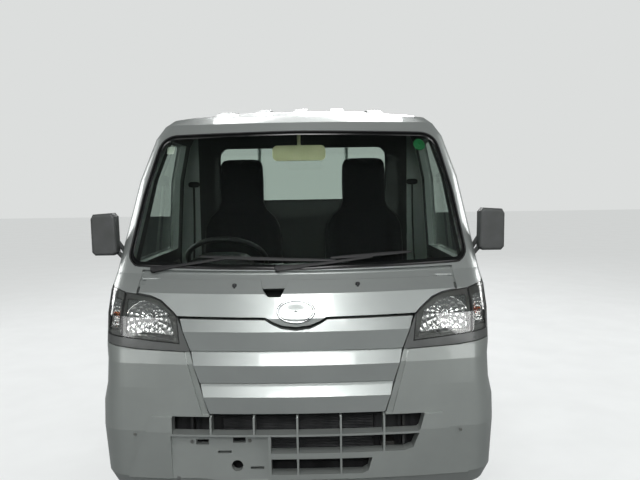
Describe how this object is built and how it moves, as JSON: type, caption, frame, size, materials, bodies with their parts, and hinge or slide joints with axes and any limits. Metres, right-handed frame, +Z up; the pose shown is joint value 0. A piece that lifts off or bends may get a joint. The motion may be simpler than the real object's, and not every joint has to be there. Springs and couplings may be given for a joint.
{
  "type": "kei truck",
  "caption": "Small forward-control truck with a two-seat steel cab, drop-side cargo bed, opening doors and gates, steered front wheels and rolling tyres.",
  "frame": {"origin": "on the ground under the middle of the truck's box", "axes": "+Z up, the truck faces -Y, +X is the truck's left side"},
  "size_m": [1.704, 3.395, 1.78],
  "materials": {
    "tyre": "matt",
    "rim_silver": "satin",
    "body_paint": "metallic",
    "glass": "clear",
    "lamp_glass": "clear",
    "lamp_housing": "gloss",
    "tail_lamp_red": "gloss",
    "frame_black": "satin",
    "engine_metal": "cast",
    "rubber": "matt",
    "black_plastic": "matt",
    "seat_cloth": "woven"
  },
  "bodies": {
    "chassis": {"screen_frame": "body_paint", "roof_panel": "body_paint", "cab_rear_wall": "body_paint", "cab_side_left": "body_paint", "cab_side_right": "body_paint", "front_panel": "body_paint", "front_bumper": "body_paint", "cab_floor": "body_paint", "cargo_bed": "body_paint", "guard_frame": "body_paint", "windscreen": "glass", "rear_window": "glass", "lamp_lenses": "lamp_glass", "headlamps": "lamp_housing", "tail_lamps": "tail_lamp_red", "chassis_frame": "frame_black", "bed_frame": "frame_black", "rear_crossbar": "frame_black", "front_support": "frame_black", "front_suspension": "frame_black", "rear_axle": "frame_black", "rear_suspension": "frame_black", "propeller_shaft": "frame_black", "fuel_tank": "frame_black", "wipers": "frame_black", "engine": "engine_metal", "radiator": "engine_metal", "exhaust": "engine_metal", "mud_flaps": "rubber", "spare_wheel": "rubber", "cabin_mirror": "black_plastic", "dashboard": "black_plastic", "steering_column": "black_plastic", "driver_seat": "seat_cloth", "passenger_seat": "seat_cloth"},
    "hood": {"hood": "body_paint"},
    "door_left": {"door_left": "body_paint", "door_glass_left": "glass", "mirror_left": "black_plastic"},
    "door_right": {"door_right": "body_paint", "door_glass_right": "glass", "mirror_right": "black_plastic"},
    "knuckle_left": {"knuckle_left": "frame_black"},
    "knuckle_right": {"knuckle_right": "frame_black"},
    "steering_wheel": {"steering_wheel": "black_plastic"},
    "wheel_front_left": {"tyre_front_left": "tyre", "rim_front_left": "rim_silver"},
    "wheel_front_right": {"tyre_front_right": "tyre", "rim_front_right": "rim_silver"},
    "wheel_rear_left": {"tyre_rear_left": "tyre", "rim_rear_left": "rim_silver"},
    "wheel_rear_right": {"tyre_rear_right": "tyre", "rim_rear_right": "rim_silver"},
    "side_gate_left": {"side_gate_left": "body_paint"},
    "side_gate_right": {"side_gate_right": "body_paint"},
    "tailgate": {"tailgate": "body_paint"}
  },
  "joints": [
    {"name": "hood_hinge", "type": "hinge", "parent": "chassis", "child": "hood", "pos_m": [0, -1.4719, 1.012], "axis": [-1, 0, 0], "range_deg": [0, 50]},
    {"name": "door_left_hinge", "type": "hinge", "parent": "chassis", "child": "door_left", "pos_m": [0.739, -1.32, 0.8], "axis": [0, 0, -1], "range_deg": [0, 65]},
    {"name": "door_right_hinge", "type": "hinge", "parent": "chassis", "child": "door_right", "pos_m": [-0.739, -1.32, 0.8], "axis": [0, 0, 1], "range_deg": [0, 65]},
    {"name": "steer_left", "type": "hinge", "parent": "chassis", "child": "knuckle_left", "pos_m": [0.54, -0.9725, 0.268], "axis": [0, 0, 1], "range_deg": [-34, 34]},
    {"name": "steer_right", "type": "hinge", "parent": "chassis", "child": "knuckle_right", "pos_m": [-0.54, -0.9725, 0.268], "axis": [0, 0, 1], "range_deg": [-34, 34]},
    {"name": "steering_wheel_turn", "type": "hinge", "parent": "chassis", "child": "steering_wheel", "pos_m": [-0.335, -1.0325, 1.03], "axis": [0, 0.6, 0.8], "range_deg": [-476, 476]},
    {"name": "roll_front_left", "type": "hinge", "parent": "knuckle_left", "child": "wheel_front_left", "pos_m": [0.65, -0.9725, 0.268], "axis": [1, 0, 0], "continuous": true},
    {"name": "roll_front_right", "type": "hinge", "parent": "knuckle_right", "child": "wheel_front_right", "pos_m": [-0.65, -0.9725, 0.268], "axis": [1, 0, 0], "continuous": true},
    {"name": "roll_rear_left", "type": "hinge", "parent": "chassis", "child": "wheel_rear_left", "pos_m": [0.65, 0.9275, 0.268], "axis": [1, 0, 0], "continuous": true},
    {"name": "roll_rear_right", "type": "hinge", "parent": "chassis", "child": "wheel_rear_right", "pos_m": [-0.65, 0.9275, 0.268], "axis": [1, 0, 0], "continuous": true},
    {"name": "side_gate_left_hinge", "type": "hinge", "parent": "chassis", "child": "side_gate_left", "pos_m": [0.735, 0.6975, 0.657], "axis": [0, 1, 0], "range_deg": [0, 180]},
    {"name": "side_gate_right_hinge", "type": "hinge", "parent": "chassis", "child": "side_gate_right", "pos_m": [-0.735, 0.6975, 0.657], "axis": [0, -1, 0], "range_deg": [0, 180]},
    {"name": "tailgate_hinge", "type": "hinge", "parent": "chassis", "child": "tailgate", "pos_m": [0, 1.6915, 0.657], "axis": [-1, 0, 0], "range_deg": [0, 180]}
  ],
  "couplings": [
    {"joint": "steer_right", "follows": "steer_left", "ratio": 1},
    {"joint": "steering_wheel_turn", "follows": "steer_left", "ratio": 14}
  ]
}
